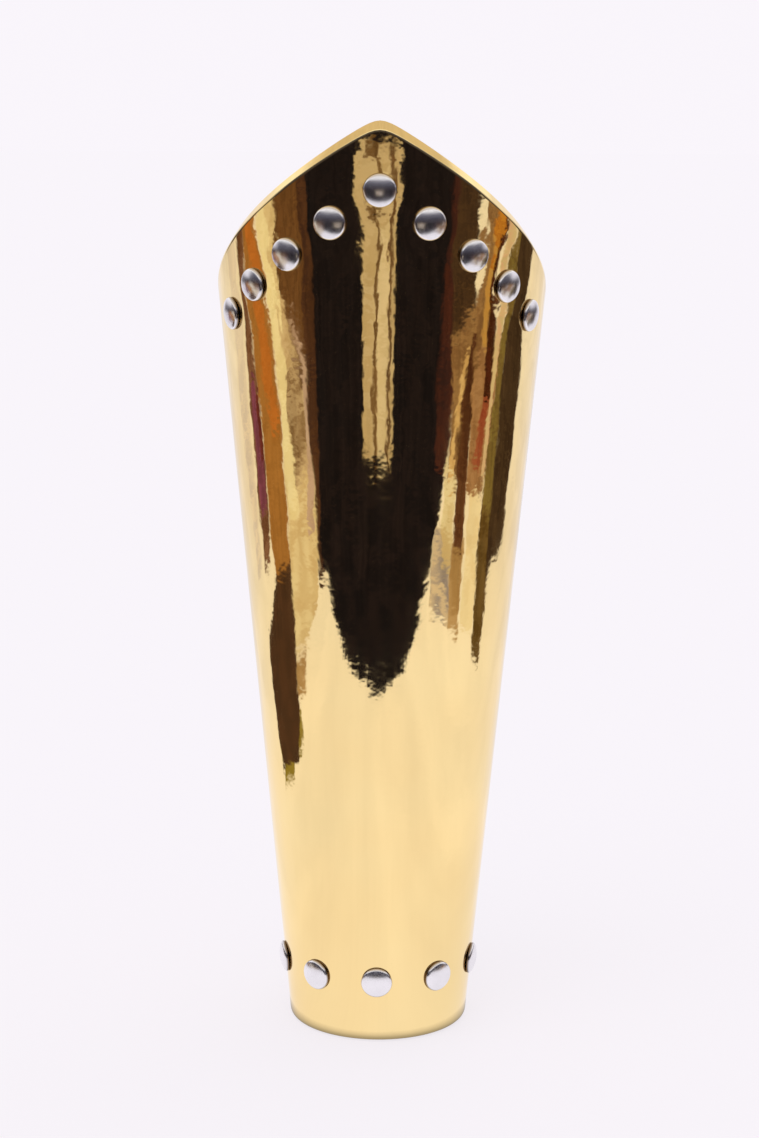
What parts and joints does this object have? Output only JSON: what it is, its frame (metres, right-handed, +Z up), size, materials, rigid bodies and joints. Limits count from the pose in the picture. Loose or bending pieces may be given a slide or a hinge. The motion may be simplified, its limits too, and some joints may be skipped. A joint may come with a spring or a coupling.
{
  "type": "arm guard",
  "caption": "Tapered mirror-gold forearm guard with a pointed elbow edge, chrome dome rivets and buckled straps along the back.",
  "frame": {"origin": "centre of the wrist opening, on the flat wrist edge that the guard stands on", "axes": "+Z up the arm from wrist to elbow, -Y out of the guard's front, the straps and the closing gap at +Y"},
  "size_m": [0.0978, 0.103, 0.2765],
  "materials": {
    "mirror_gold": "mirror-bright metallic gold film on leather, slightly rippled",
    "strap_gold": "mirror-bright metallic gold film on leather, bent and creased a little",
    "board": "dense stiffening board, hidden inside the shell",
    "felt": "soft black felt",
    "rivet_chrome": "polished chrome",
    "buckle_chrome": "polished chrome wire"
  },
  "bodies": {
    "shell": {"shell_sheet": "mirror_gold", "shell_board": "board", "shell_lining": "felt", "elbow_rivet_caps": "rivet_chrome", "elbow_rivet_backs": "rivet_chrome", "wrist_rivet_caps": "rivet_chrome", "wrist_rivet_backs": "rivet_chrome", "strap_rivet_caps": "rivet_chrome", "strap_rivet_backs": "rivet_chrome", "tab_rivet_caps": "rivet_chrome", "tab_rivet_backs": "rivet_chrome", "lower_strap": "strap_gold", "lower_buckle_tab": "strap_gold", "lower_keeper": "strap_gold", "middle_strap": "strap_gold", "middle_buckle_tab": "strap_gold", "middle_keeper": "strap_gold", "upper_strap": "strap_gold", "upper_buckle_tab": "strap_gold", "upper_keeper": "strap_gold"},
    "lower_buckle": {"lower_buckle_frame": "buckle_chrome"},
    "lower_roller": {"lower_roller": "buckle_chrome"},
    "lower_prong": {"lower_prong": "buckle_chrome"},
    "middle_buckle": {"middle_buckle_frame": "buckle_chrome"},
    "middle_roller": {"middle_roller": "buckle_chrome"},
    "middle_prong": {"middle_prong": "buckle_chrome"},
    "upper_buckle": {"upper_buckle_frame": "buckle_chrome"},
    "upper_roller": {"upper_roller": "buckle_chrome"},
    "upper_prong": {"upper_prong": "buckle_chrome"}
  },
  "joints": [
    {"name": "lower_buckle_swing", "type": "hinge", "parent": "shell", "child": "lower_buckle", "pos_m": [-0.00644, 0.03288, 0.03676], "axis": [-0.0182, 0.0928, 0.9955], "range_deg": [0, 25]},
    {"name": "lower_prong_lift", "type": "hinge", "parent": "lower_buckle", "child": "lower_prong", "pos_m": [-0.00644, 0.03288, 0.03676], "axis": [-0.0182, 0.0928, 0.9955], "range_deg": [0, 35]},
    {"name": "lower_roller_spin", "type": "hinge", "parent": "lower_buckle", "child": "lower_roller", "pos_m": [0.00852, 0.03391, 0.03694], "axis": [-0.0182, 0.0928, 0.9955], "continuous": true},
    {"name": "middle_buckle_swing", "type": "hinge", "parent": "shell", "child": "middle_buckle", "pos_m": [-0.00638, 0.0383, 0.09276], "axis": [-0.0155, 0.0933, 0.9955], "range_deg": [0, 25]},
    {"name": "middle_prong_lift", "type": "hinge", "parent": "middle_buckle", "child": "middle_prong", "pos_m": [-0.00638, 0.0383, 0.09276], "axis": [-0.0155, 0.0933, 0.9955], "range_deg": [0, 35]},
    {"name": "middle_roller_spin", "type": "hinge", "parent": "middle_buckle", "child": "middle_roller", "pos_m": [0.00858, 0.03936, 0.0929], "axis": [-0.0155, 0.0933, 0.9955], "continuous": true},
    {"name": "upper_buckle_swing", "type": "hinge", "parent": "shell", "child": "upper_buckle", "pos_m": [-0.00634, 0.04369, 0.14876], "axis": [-0.0136, 0.0936, 0.9955], "range_deg": [0, 25]},
    {"name": "upper_prong_lift", "type": "hinge", "parent": "upper_buckle", "child": "upper_prong", "pos_m": [-0.00634, 0.04369, 0.14876], "axis": [-0.0136, 0.0936, 0.9955], "range_deg": [0, 35]},
    {"name": "upper_roller_spin", "type": "hinge", "parent": "upper_buckle", "child": "upper_roller", "pos_m": [0.00862, 0.04478, 0.14887], "axis": [-0.0136, 0.0936, 0.9955], "continuous": true}
  ]
}
